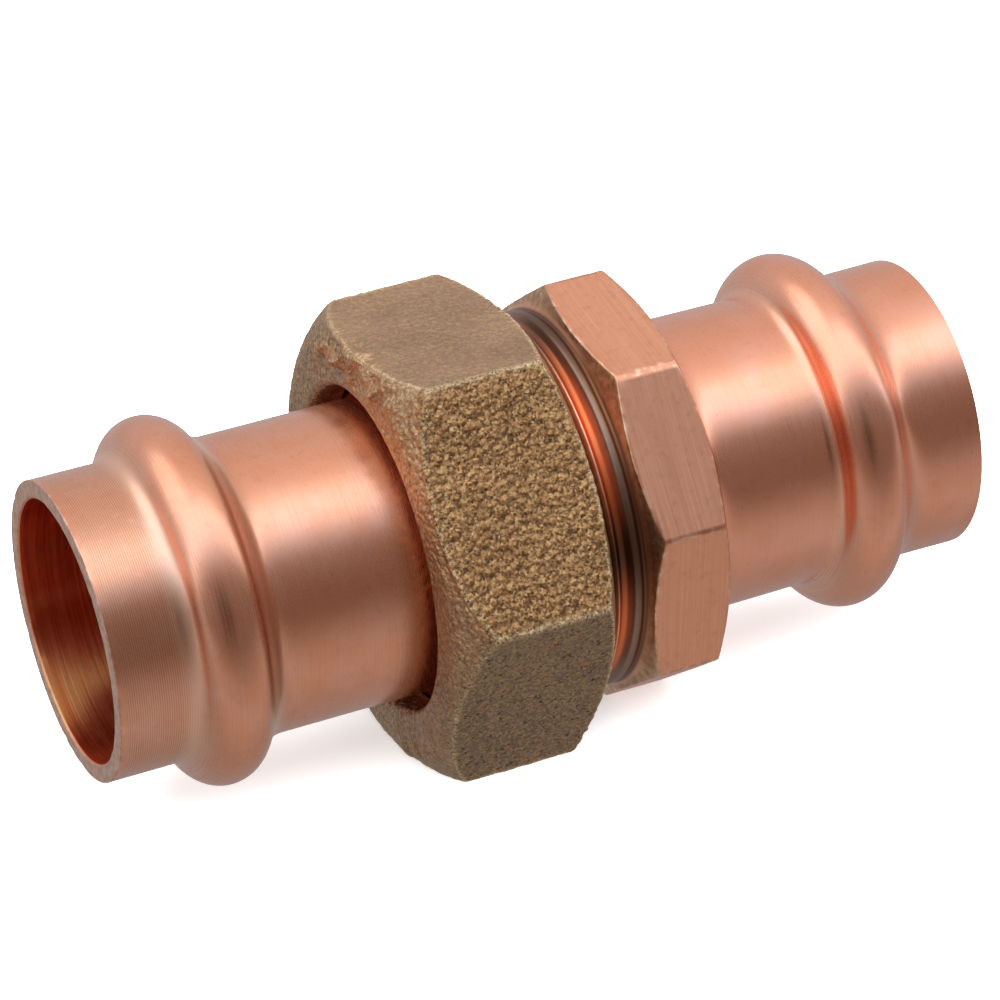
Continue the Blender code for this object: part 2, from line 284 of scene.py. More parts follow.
def ringed(path, columns):
    """Rows that are the same all the way round, one for each point of an outline."""
    outline = np.array(path)
    return np.repeat(outline[:, :1], columns, 1), np.repeat(outline[:, 1:], columns, 1)


def spun(path, columns):
    """A plain turned skin."""
    stations, radii = ringed(path, columns)
    return Lathed(stations, radii, np.linspace(0, TAU, columns, endpoint=False))


def stacked(rows, angles):
    """One skin from stretches of rows laid end to end."""
    stations = np.concatenate([stretch[0] for stretch in rows])
    radii = np.concatenate([stretch[1] for stretch in rows])
    return Lathed(stations, radii, angles)


def smooth(value, low, high):
    """Smooth step from 0 at low to 1 at high."""
    part = np.clip((value - low) / (high - low), 0, 1)
    return part * part * (3 - 2 * part)


def hump(value, centre, width, power=2):
    """1 at the centre, falling off like a bell."""
    return np.exp(-((value - centre) / width) ** power)


def humps(value, places):
    """Several humps added up; each place is a centre, a width and a strength."""
    return sum(strength * hump(value, centre, width) for centre, width, strength in places)


# ---- tailpiece

# Painted highlights beside the rolled bead: station, width and strength.
TAIL_CREASE_HIGHLIGHTS = [(6.5, 0.8, 0.45), (13.0, 0.7, 1.0)]
# Warm light in the mouth, by degrees from the top towards the back: place, width, strength.
TAIL_GLOWS = [(144, 15, 1.0), (99, 7, 0.30)]


def tailpiece_path():
    """Closed outline of the mouth, bead, barrel, collar, ball, nose, waterway and socket."""
    fine = GROOVE_PITCH / 4
    mouth = softened([(0.0, SOCKET_RADIUS + 0.16), (0.0, PILOT_RADIUS + 0.02, 0.1),
                      (0.5, PILOT_RADIUS)])
    rise = bead(TAIL_BEAD_AT, TAIL_BEAD_CREST, TAIL_BEAD_ROLL,
                (PILOT_RADIUS - 0.03, 1.7), (BARREL_RADIUS, 2.7))
    pilot = divided([(0.5, PILOT_RADIUS), rise[0]], fine)
    collar = [(28.6, BARREL_RADIUS, 1.0), (30.1, 13.4, 0.1), (30.1, 15.0, 0.25),
              (COLLAR_FACE, 15.0, 0.25), (ball_station(BALL_FOOT), BALL_FOOT, 0.1)]
    ball = [(ball_station(r), r) for r in np.linspace(14.3, 11.9, 9)]
    nose = [(NOSE, 11.7, 0.3), (NOSE, WATERWAY_RADIUS, 0.3)]
    stop = [(SOCKET_DEPTH + 1.0, WATERWAY_RADIUS, 0.3), (SOCKET_DEPTH, SOCKET_RADIUS, 0.2)]
    groove = seal_groove(TAIL_BEAD_AT)[::-1]
    onward = softened(rise[-1:] + collar + ball + nose + stop + groove
                      + [(0.16, SOCKET_RADIUS, 0.05), (0.0, SOCKET_RADIUS + 0.16)])
    path = mouth[:-1] + pilot[:-1] + rise[:-1] + onward
    return divided(path[:-1], closed=True)


def tailpiece_skin():
    """Socket, bead, barrel, collar and ground ball."""
    skin = spun(tailpiece_path(), 276)
    stations = skin.stations
    outer = skin.radii > PILOT_RADIUS - 0.3
    turned = outer * (1 - smooth(stations, 5.2, 7.4)) * smooth(stations, 0.3, 0.8)
    skin.values["turned"] = outer * (0.14 + 0.86 * turned)
    # The barrel under the nut takes the bore's colour too: painted shade where the nut covers it.
    skin.values["bore"] = np.maximum((skin.radii < BARREL_RADIUS - 0.3) * 1.0,
                                     smooth(stations, 27.4, 28.0))
    for unused in ("milled", "chamfer", "neck", "painted_shade", "flame"):
        skin.values[unused] = np.zeros_like(skin.radii)
    skin.values["edge"] = hump(stations, 0.0, 0.12) * outer * 0.7
    skin.values["cut"] = (stations < 0.09) * (skin.radii > SOCKET_RADIUS + 0.05)
    # Where a painted highlight runs beside the bead.
    skin.values["crease_highlight"] = humps(stations, TAIL_CREASE_HIGHLIGHTS) * outer
    across = np.degrees(np.arctan2(skin.points[..., 1], skin.points[..., 2]))
    skin.values["glow"] = humps(across + skin.noise(5.0, 14) * 12, TAIL_GLOWS)
    wobble = skin.noise(9.0, 11) * 0.014 + skin.noise(2.4, 12) * 0.005
    nick = np.maximum(skin.noise(0.9, 13) - 0.40, 0) * 0.10 * hump(stations, 0.0, 0.25)
    lathe_lines = 0.0045 * np.sin(stations * TAU / GROOVE_PITCH) * turned
    skin.push(wobble - nick + lathe_lines)
    return skin


# ---- thread

def thread_height(stations, angles, crest, root, crest_width, phase):
    """Radius of a right-handed thread at each station and angle."""
    # angles grow from the top towards -Y, which is positive about +X
    along = stations - phase - PITCH * angles / TAU
    off = np.abs((along + PITCH / 2) % PITCH - PITCH / 2)
    fall = np.maximum(off - crest_width / 2, 0) / math.tan(math.radians(30))
    return np.maximum(crest - fall, root)


def thread_rows(first, last, step, angles, phase):
    """Stations for a thread's rows, leaning with the helix so the ridges stay sharp."""
    start = phase + (math.ceil((first - phase) / step) + 0.5) * step
    base = np.arange(start, last - 1.5 * step, step)
    return base[:, None] + (PITCH * angles / TAU % step)[None]


# ---- threaded end

# Width of the small flat across each corner of the wrench part, in millimetres.
CORNER_BEVELS = [0.30, 0.55, 0.22, 0.22, 0.25, 0.28, 0.24, 0.26]
# Painted highlights beside the rolled bead: station, width and strength.
END_CREASE_HIGHLIGHTS = [(64.7, 0.6, 0.25), (70.3, 0.7, 0.35)]
# Painted shade, then painted highlights, round the neck; the shade also lies on the chamfer:
# degrees from the top, width and strength.
PAINTED_SHADES = [(84, 15, 1.0), (240, 40, 0.7), (2, 22, 0.9), (362, 22, 0.9), (146, 14, 0.55)]
NECK_HIGHLIGHTS = [(60, 14, 1.0), (300, 30, 0.6)]


def octagon_radius(angles, bevels):
    """Radius of the wrench part, distance from the nearest corner, and that corner's bevel."""
    first = math.radians(OCTAGON_CORNER_TURN)
    sector = TAU / 8
    place = (angles - first) / sector
    corner = np.round(place).astype(int) % 8
    from_corner = (place - np.round(place)) * sector
    to_flat = sector / 2 - np.abs(from_corner)
    flat = OCTAGON_HALF_FLATS / np.cos(to_flat)
    width = np.array(bevels)[corner]
    cut = (OCTAGON_TIP - width / 2 * math.tan(sector / 2)) / np.cos(from_corner)
    return np.minimum(flat, cut), np.abs(from_corner) * OCTAGON_TIP, width


def octagon_columns(columns, bevels):
    """Angles that fall exactly on every corner and bevel edge."""
    first = math.radians(OCTAGON_CORNER_TURN)
    sector = TAU / 8
    inset = 0.012
    fill = columns // 8 - 6
    angles = []
    for k in range(8):
        half = bevels[k] / 2 / OCTAGON_TIP
        next_half = bevels[(k + 1) % 8] / 2 / OCTAGON_TIP
        start = first + k * sector
        low = start + half
        high = start + sector - next_half
        angles += [start - half * 0.4, start + half * 0.4]
        angles += [low, *np.linspace(low + inset, high - inset, fill), high]
    return np.sort(np.array(angles) % TAU)


def octagon_edges(eight):
    """Stations where the flats meet the back chamfer and the front one."""
    return (OCTAGON_BACK + (eight - BACK_FOOT) * BACK_SLOPE,
            OCTAGON_FRONT - (eight - FRONT_FOOT) * FRONT_SLOPE)


def octagon_rows(eight):
    """Back chamfer, its softened edge, the flats, then the front edge and chamfer."""
    back_edge, front_edge = octagon_edges(eight)
    soft = 0.12
    stretch = 1.4
    rows = []
    for t in (0.0, 0.35, 0.7):
        radius = BACK_FOOT + (eight - BACK_FOOT) * t
        rows.append((OCTAGON_BACK + (radius - BACK_FOOT) * BACK_SLOPE, radius))
    for t in (0.0, 0.3, 0.6, 1.0):
        lean = (1 - t) ** 2 * soft
        rows.append((back_edge - lean * BACK_SLOPE * stretch + t * t * soft, eight - lean))
    for t in np.linspace(0, 1, 23)[1:-1]:
        rows.append((back_edge + soft + (front_edge - back_edge - 2 * soft) * t, eight))
    for t in (1.0, 0.6, 0.3, 0.0):
        lean = (1 - t) ** 2 * soft
        rows.append((front_edge + lean * FRONT_SLOPE * stretch - t * t * soft, eight - lean))
    for t in (0.6, 0.3, 0.0):
        radius = FRONT_FOOT + (eight - FRONT_FOOT) * t
        rows.append((OCTAGON_FRONT - (radius - FRONT_FOOT) * FRONT_SLOPE, radius))
    return [(stations[None], radii[None]) for stations, radii in rows]


def spigot_rows(angles):
    """Seat cone and face of the spigot, then its outside thread."""
    seat = softened([(46.0, WATERWAY_RADIUS), (36.98, WATERWAY_RADIUS, 0.3),
                     (SPIGOT_FACE, 14.5, 0.15), (SPIGOT_FACE, THREAD_ROOT - 0.35, 0.1),
                     (SPIGOT_FACE + 0.5, THREAD_ROOT - 0.02)])
    step = PITCH / 16
    thread = thread_rows(SPIGOT_FACE + 0.5, THREAD_END, step, angles, THREAD_START)
    height = thread_height(thread, angles[None], THREAD_CREST, THREAD_ROOT, CREST_WIDTH,
                           THREAD_START)
    lead_in = THREAD_ROOT - 0.1 + (thread - SPIGOT_FACE - 0.15) * 0.85
    run_out = THREAD_ROOT + np.maximum(THREAD_END + 0.4 - thread, 0) * 1.1
    ceiling = np.minimum(lead_in, run_out)
    return [ringed(divided(seat[1:], 1.2), len(angles)),
            (thread, np.maximum(np.minimum(height, ceiling), THREAD_ROOT - 0.05))]


def neck_rows(columns):
    """Relief behind the thread, then the two ridges and the hollow before the wrench part."""
    neck = softened([(THREAD_END, THREAD_ROOT - 0.1), (41.65, 15.0, 0.2), (41.65, 15.9, 0.2),
                     (42.22, 16.30, 0.10), (42.34, 16.32, 0.04), (42.48, 15.95, 0.2),
                     (42.85, 15.55, 0.6), (43.30, 15.60, 0.5), (43.84, 16.32, 0.6),
                     (44.28, 16.36, 0.5), (44.68, 16.12, 0.3), (OCTAGON_BACK, BACK_FOOT)], 8)
    return [ringed(divided(neck, 0.35)[:-1], columns)]


def socket_rows(columns):
    """Fillet down to the barrel, then the bead, mouth, seal groove, socket and waterway."""
    fillet = 3.0
    path = [(OCTAGON_FRONT, 16.3)] + arc((OCTAGON_FRONT + 0.05 + fillet, BARREL_RADIUS + fillet),
                                         fillet, 180, 270, 8)
    path += bead(END_BEAD_AT, END_BEAD_CREST, END_BEAD_ROLL,
                 (BARREL_RADIUS - 0.08, 1.3), (PILOT_RADIUS - 0.2, 3.6))
    path += [(LENGTH - 0.6, PILOT_RADIUS - 0.16)]
    path += [(LENGTH, PILOT_RADIUS - 0.16, 0.12), (LENGTH, SOCKET_RADIUS, 0.14)]
    path += seal_groove(END_BEAD_AT)[::-1]
    path += [(LENGTH - SOCKET_DEPTH, SOCKET_RADIUS, 0.2),
             (LENGTH - SOCKET_DEPTH - 1.0, WATERWAY_RADIUS, 0.3), (46.5, WATERWAY_RADIUS)]
    return [ringed(divided(softened(path), 0.5), columns)]


def end_skin():
    """Threaded spigot, necked ring, octagon, barrel, bead and socket."""
    angles = octagon_columns(264, CORNER_BEVELS)
    columns = len(angles)
    eight, from_corner, width = octagon_radius(angles, CORNER_BEVELS)
    skin = stacked(spigot_rows(angles) + neck_rows(columns) + octagon_rows(eight)
                   + socket_rows(columns), angles)
    mark_end(skin, eight, from_corner, width)
    wobble = skin.noise(8.0, 21) * 0.012 + skin.noise(2.0, 22) * 0.003
    wobble = wobble * (skin.radii > 12.0) * (skin.stations > 43.0)
    dent = np.maximum(skin.noise(0.7, 23) - 0.35, 0) * 0.12 * skin.values["edge"]
    skin.push(wobble - dent)
    return skin


def mark_end(skin, eight, from_corner, width):
    """Where each finish, painted highlight and painted shade shows on the threaded end."""
    stations = skin.stations
    radii = skin.radii
    back_edge, front_edge = octagon_edges(eight)
    wrench = (smooth(stations, OCTAGON_BACK - 0.1, OCTAGON_BACK + 0.1)
              * (1 - smooth(stations, OCTAGON_FRONT - 0.05, OCTAGON_FRONT + 0.05)) * (radii > 16.0))
    on_cone = wrench * (stations < back_edge[None] + 0.01)
    skin.values["turned"] = (radii > 12.0) * smooth(stations, 55.0, 56.0) * 0.12
    skin.values["bore"] = (radii < BARREL_RADIUS - 0.35) * 1.0
    skin.values["neck"] = (radii > BARREL_RADIUS) * (stations < OCTAGON_BACK - 0.02)
    skin.values["chamfer"] = on_cone * 1.0
    skin.values["milled"] = wrench - on_cone
    skin.values["cut"] = np.zeros_like(radii)
    skin.values["glow"] = np.full_like(radii, 0.3)
    # Where a painted highlight runs beside the bead.
    skin.values["crease_highlight"] = humps(stations, END_CREASE_HIGHLIGHTS) * (radii > 12.3)
    down = np.repeat(np.degrees(skin.angles)[None], skin.rows, 0)
    # Painted shade and painted highlights by angle round the axis.
    skin.values["painted_shade"] = humps(down, PAINTED_SHADES)
    skin.values["flame"] = humps(down, NECK_HIGHLIGHTS)
    near_corner = hump(np.maximum(from_corner - width / 2, 0), 0, 0.035)[None]
    near_rim = (hump(stations, back_edge[None], 0.14) + hump(stations, front_edge[None], 0.12))
    skin.values["edge"] = np.clip(near_corner + near_rim, 0, 1) * wrench


# ---- union nut

# How coarse the sand left each flat, going round from the top flat towards the front.
FLAT_COARSENESS = [0.14, 1.0, 0.36, 0.30, 0.95, 0.22]
# How dull each flat is, and how much painted shade darkens it, in the same order.
FLAT_DULL_AND_SHADE = [0.0, 0.15, 0.75, 0.45, 0.15, 0.05]
# How far each end face has fallen away at a radius: the radii, then the falls.
BACK_FACE = ([17.0, 17.6, 18.2, 19.1, 19.9, 20.6, 21.2], [0.0, 0.08, 0.35, 0.9, 1.55, 2.3, 3.2])
FRONT_FACE = ([17.3, 17.9, 19.1, 20.2, 21.2], [0.0, 0.12, 0.75, 1.35, 1.95])


def hexagon_radius(angles, half_flats, rounding):
    """Radius of a hexagon with rounded corners, and the distance round to the nearest corner."""
    sector = TAU / 6
    off = np.abs((angles + sector / 2) % sector - sector / 2)
    flat = half_flats / np.cos(off)
    centre = (half_flats - rounding) / math.cos(sector / 2)
    lean = sector / 2 - off
    inside = np.maximum(rounding ** 2 - (centre * np.sin(lean)) ** 2, 0)
    tip = centre * np.cos(lean) + np.sqrt(inside)
    tangent = sector / 2 - math.atan2(half_flats * math.tan(sector / 2)
                                      - rounding * math.tan(sector / 2), half_flats)
    turned_in = lean < tangent
    return np.where(turned_in, np.minimum(flat, tip), flat), lean * half_flats * 1.1


def back_face(radius):
    """Station of the nut's back face at a radius."""
    return NUT_BACK + np.interp(radius, *BACK_FACE)


def front_face(radius):
    """Station of the nut's front face at a radius."""
    return NUT_FRONT - np.interp(radius, *FRONT_FACE)


def curved(t, first, middle, last):
    """A point on a curve that leaves first and reaches last, pulled towards the middle."""
    return (1 - t) ** 2 * first + 2 * t * (1 - t) * middle + t * t * last


def nut_outside(six):
    """Hole, back face, rounded back edge, flats, rounded front edge and front face."""
    hole = softened([(NUT_BACK + 2.9, NUT_HOLE_RADIUS - 0.05), (NUT_BACK, NUT_HOLE_RADIUS, 0.7),
                     (NUT_BACK, BACK_FACE[0][0])], 15)
    back_edge = back_face(six)
    front_edge = front_face(six)
    back_soft = 0.32
    front_soft = 0.25
    rows = []
    inner = BACK_FACE[0][0]
    for t in np.linspace(0, 1, 10)[1:]:
        radius = inner + (six - back_soft - inner) * t
        rows.append((back_face(radius), radius))
    for t in (0.25, 0.5, 0.75, 1.0):
        rows.append((curved(t, back_face(six - back_soft), back_edge, back_edge + back_soft),
                     curved(t, six - back_soft, six, six)))
    length = front_edge - back_edge - 2 * back_soft + 0.2
    for t in np.linspace(0, 1, 58)[1:-1]:
        rows.append((back_edge + back_soft + length * t, six))
    for t in (0.0, 0.25, 0.5, 0.75):
        rows.append((curved(t, front_edge - front_soft, front_edge, front_face(six - front_soft)),
                     curved(t, six, six, six - front_soft)))
    inner = FRONT_FACE[0][0]
    for t in np.linspace(1, 0, 8):
        radius = inner + (six - front_soft - inner) * t
        rows.append((front_face(radius), radius))
    return ([ringed(divided(hole, 0.4), len(six))]
            + [(stations[None], radii[None]) for stations, radii in rows])


def nut_inside(angles):
    """Mouth, inside thread, the groove where the thread runs out, and the web."""
    columns = len(angles)
    minor = THREAD_ROOT + THREAD_GAP
    major = THREAD_CREST + THREAD_GAP
    mouth = [(NUT_FRONT, 16.9), (NUT_FRONT, 16.5), (NUT_FRONT - 0.1, 16.35)]
    thread = np.linspace(NUT_FRONT - 0.2, NUT_BACK + 5.9, 38)
    thread = np.repeat(thread[:, None], columns, 1)
    groove = thread_height(thread, angles[None], major, minor, GROOVE_WIDTH, THREAD_START)
    opening = minor + np.maximum(thread - (NUT_FRONT - 0.9), 0)
    web = softened([(NUT_BACK + 5.75, minor + 0.2), (NUT_BACK + 5.3, 16.5, 0.3),
                    (NUT_BACK + 4.3, 16.5, 0.3), (NUT_BACK + 3.8, minor, 0.2),
                    (NUT_BACK + 3.0, minor, 0.3), (NUT_BACK + 3.0, NUT_HOLE_RADIUS, 0.2),
                    (NUT_BACK + 2.95, NUT_HOLE_RADIUS - 0.02)])
    return [ringed(mouth, columns), (thread, np.maximum(groove, opening)),
            ringed(divided(web, 1.0)[:-1], columns)]


def nut_skin():
    """Cast hexagon nut with its web, inside thread and dressed faces."""
    angles = np.linspace(0, TAU, 696, endpoint=False)
    six, from_corner = hexagon_radius(angles, NUT_HALF_FLATS, 0.4)
    skin = stacked(nut_outside(six) + nut_inside(angles), angles)
    turn = np.degrees((angles[None] + math.pi) % TAU - math.pi)
    on_back = 1 - smooth(skin.stations, NUT_BACK + 0.9, NUT_BACK + 2.4)
    mark_nut(skin, six, from_corner, turn, on_back)
    skin.push(skin.values["cast"] * nut_relief(skin, turn, on_back))
    return skin


def per_flat(skin, values):
    """One value for each flat of the nut, blended a little over the corners."""
    kernel = np.hanning(13)
    half = len(kernel) // 2
    each = np.array(values)[np.round(skin.angles / (TAU / 6)).astype(int) % 6]
    each = np.concatenate([each[-half:], each, each[:half]])
    each = np.convolve(each, kernel / kernel.sum(), "valid")
    return np.repeat(each[None], skin.rows, 0)


def mark_nut(skin, six, from_corner, turn, on_back):
    """How coarse, dull, cast and rubbed the nut is from place to place, with painted shade on the
    dull places and a painted highlight on the edges.
    """
    stations = skin.stations
    on_front = smooth(stations, NUT_FRONT - 1.0, NUT_FRONT - 0.4)
    on_face = np.maximum(on_back * (skin.radii < six[None] - 0.25), on_front)
    skin.values["coarse"] = per_flat(skin, FLAT_COARSENESS) * (1 - on_face) + 0.34 * on_face
    # Painted shade on the end faces, by angle round the axis.
    face_dull_and_shade = 0.10 + 0.45 * smooth(-turn, -12, 12) + 0.25 * smooth(turn, 70, 120)
    skin.values["dull_and_shade"] = per_flat(skin, FLAT_DULL_AND_SHADE) * (1 - on_face) + face_dull_and_shade * on_face
    skin.values["cast"] = ((skin.radii > 16.8) | (stations < NUT_BACK + 2.8)) * 1.0
    near_corner = hump(from_corner, 0, 0.28)[None] * (skin.radii > six[None] - 0.2)
    # Rims rubbed bright, partly a painted highlight, weaker on the back rim.
    near_rim = (0.55 * hump(stations, back_face(six)[None] + 0.1, 0.22)
                + hump(stations, front_face(six)[None], 0.18))
    near_rim = near_rim * (skin.radii > six[None] - 0.5)
    skin.values["edge"] = np.clip(near_corner + near_rim, 0, 1)


def nut_relief(skin, turn, on_back):
    """Height of the sand grain, and of the plain lumps high and low on the back face."""
    wave = skin.noise(6.0, 31) * 0.035
    grain = skin.noise(0.6, 32) * 0.6 + skin.noise(0.38, 33) * 0.8
    high = hump(turn, 6, 32, 4)
    low = hump(turn, 152, 22, 4) * 0.35
    lumps = np.maximum(high, low) * hump(skin.radii, 16.9, 1.7, 4) * on_back
    lump = np.maximum(skin.noise(1.25, 34) + 0.15, 0)
    skin.values["lump"] = np.clip(lumps * lump * 2.2, 0, 1)
    roughness = 0.008 + 0.075 * skin.values["coarse"] + 0.05 * skin.values["edge"]
    return wave + grain * roughness + lumps * (lump - 0.25) * 1.1


# ---- seals

def seal_skin(at):
    """Rubber ring with the faint moulding line round each of its two sides."""
    section = np.radians(np.linspace(0, 360, 36, endpoint=False))
    from_side = (section + math.pi / 2) % math.pi - math.pi / 2
    flash = 0.03 * hump(from_side, 0.0, 0.09)
    path = [(at + (SEAL_SECTION + f) * math.cos(a), SEAL_RADIUS + (SEAL_SECTION + f) * math.sin(a))
            for a, f in zip(section, flash)]
    return spun(path[::-1], 144)


# ---- materials

def rgb(red, green, blue):
    """An opaque colour, in linear light."""
    return (red, green, blue, 1.0)


class Graph:
    """A short way to build nodes, for a material or for the studio round it."""

    def __init__(self, tree, coordinates):
        self.nodes = tree.nodes
        self.links = tree.links
        self.place = self.nodes.new("ShaderNodeTexCoord").outputs[coordinates]

    def join(self, source, socket):
        """Link a socket, or set a plain value."""
        if isinstance(source, bpy.types.NodeSocket):
            self.links.new(source, socket)
        else:
            socket.default_value = source

    def math(self, operation, first, second=0.0, third=0.0, clamp=False):
        node = self.nodes.new("ShaderNodeMath")
        node.operation = operation
        node.use_clamp = clamp
        self.join(first, node.inputs[0])
        self.join(second, node.inputs[1])
        self.join(third, node.inputs[2])
        return node.outputs[0]

    def times(self, first, second):
        return self.math("MULTIPLY", first, second)

    def plus(self, total, amount, part):
        """The total with an amount of one part added."""
        return self.math("MULTIPLY_ADD", part, amount, total)

    def span(self, value, low, high, out_low=0.0, out_high=1.0):
        """Clamp a value between two levels and stretch it to others."""
        node = self.nodes.new("ShaderNodeMapRange")
        node.interpolation_type = "SMOOTHSTEP"
        self.join(value, node.inputs["Value"])
        node.inputs["From Min"].default_value = low
        node.inputs["From Max"].default_value = high
        node.inputs["To Min"].default_value = out_low
        node.inputs["To Max"].default_value = out_high
        return node.outputs["Result"]

    def mix(self, factor, first, second):
        node = self.nodes.new("ShaderNodeMix")
        node.data_type = "RGBA"
        self.join(factor, node.inputs["Factor"])
        self.join(first, node.inputs["A"])
        self.join(second, node.inputs["B"])
        return node.outputs["Result"]

    def axes(self):
        """The place's X, Y and Z."""
        node = self.nodes.new("ShaderNodeSeparateXYZ")
        self.links.new(self.place, node.inputs["Vector"])
        return node.outputs

    def toward(self, heading):
        """How far the place lies in a heading, 1 when straight that way."""
        node = self.nodes.new("ShaderNodeVectorMath")
        node.operation = "DOT_PRODUCT"
        node.inputs[1].default_value = Vector(heading).normalized()
        self.links.new(self.place, node.inputs[0])
        return node.outputs["Value"]

    def ramp(self, value, stops):
        """Colours by value, from pairs of a position and a colour."""
        node = self.nodes.new("ShaderNodeValToRGB")
        elements = node.color_ramp.elements
        while len(elements) < len(stops):
            elements.new(0.5)
        for element, stop in zip(elements, stops):
            element.position = stop[0]
        for element, stop in zip(elements, stops):
            element.color = stop[1]
        self.links.new(value, node.inputs["Fac"])
        return node.outputs["Color"]


class Paint(Graph):
    """One material. Its noises and cells are fixed to the object and sized in millimetres."""

    def __init__(self, name, metallic, specular=0.5):
        self.material = bpy.data.materials.new(name)
        self.material.use_nodes = True
        super().__init__(self.material.node_tree, "Object")
        self.shader = self.nodes["Principled BSDF"]
        self.shader.inputs["Metallic"].default_value = metallic
        self.shader.inputs["Specular IOR Level"].default_value = specular

    def mark(self, name):
        """How strongly the mesh marks a finish here."""
        node = self.nodes.new("ShaderNodeAttribute")
        node.attribute_name = name
        return node.outputs["Fac"]

    def noise(self, per_mm, detail=2.0, rough=0.5, shift=0.0):
        """Noise over the object; per_mm is waves in a millimetre, or one number for each axis."""
        mapping = self.nodes.new("ShaderNodeMapping")
        mapping.inputs["Location"].default_value = (shift, shift * 0.7, shift * 1.3)
        mapping.inputs["Scale"].default_value = [1000.0 * f for f in np.broadcast_to(per_mm, 3)]
        self.links.new(self.place, mapping.inputs["Vector"])
        node = self.nodes.new("ShaderNodeTexNoise")
        node.inputs["Scale"].default_value = 1.0
        node.inputs["Detail"].default_value = detail
        node.inputs["Roughness"].default_value = rough
        self.links.new(mapping.outputs["Vector"], node.inputs["Vector"])
        return node.outputs["Fac"]

    def cells(self, per_mm, soft=None):
        """Rounded or plain cells over the object, so many in a millimetre."""
        node = self.nodes.new("ShaderNodeTexVoronoi")
        node.inputs["Scale"].default_value = 1000.0 * per_mm
        if soft is not None:
            node.feature = "SMOOTH_F1"
            node.inputs["Smoothness"].default_value = soft
        self.links.new(self.place, node.inputs["Vector"])
        return node.outputs

    def colour(self, socket):
        self.join(socket, self.shader.inputs["Base Color"])

    def roughness(self, socket):
        self.join(socket, self.shader.inputs["Roughness"])

    def relief(self, height, depth_mm):
        """Bump from a 0..1 height that stands depth_mm tall."""
        node = self.nodes.new("ShaderNodeBump")
        node.inputs["Strength"].default_value = 1.0
        node.inputs["Distance"].default_value = depth_mm * MM
        self.join(height, node.inputs["Height"])
        self.links.new(node.outputs["Normal"], self.shader.inputs["Normal"])

    def station(self):
        """Distance along the pipe in millimetres from the tail mouth."""
        return self.math("MULTIPLY_ADD", self.axes()["X"], 1000.0, ORIGIN)


# Colours along the polished neck, heat colour with a painted highlight on the edge near 42.32 and
# painted shade in the hollow from 44.15: millimetres from the tail mouth, then the tint.
NECK_TINTS = [
    (41.5, 0.40, 0.11, 0.05), (42.15, 0.70, 0.22, 0.10), (42.32, 0.95, 0.50, 0.33),
    (42.50, 0.88, 0.20, 0.065), (43.25, 0.88, 0.20, 0.065), (43.50, 0.48, 0.24, 0.16),
    (43.80, 0.37, 0.22, 0.16), (44.15, 0.28, 0.16, 0.11), (44.40, 0.20, 0.085, 0.04),
    (44.96, 0.24, 0.10, 0.045),
]
# Pale copper, the colour of painted highlights on lathe crests and beside the beads.
PAINTED_HIGHLIGHT_COPPER = rgb(1.0, 0.74, 0.56)


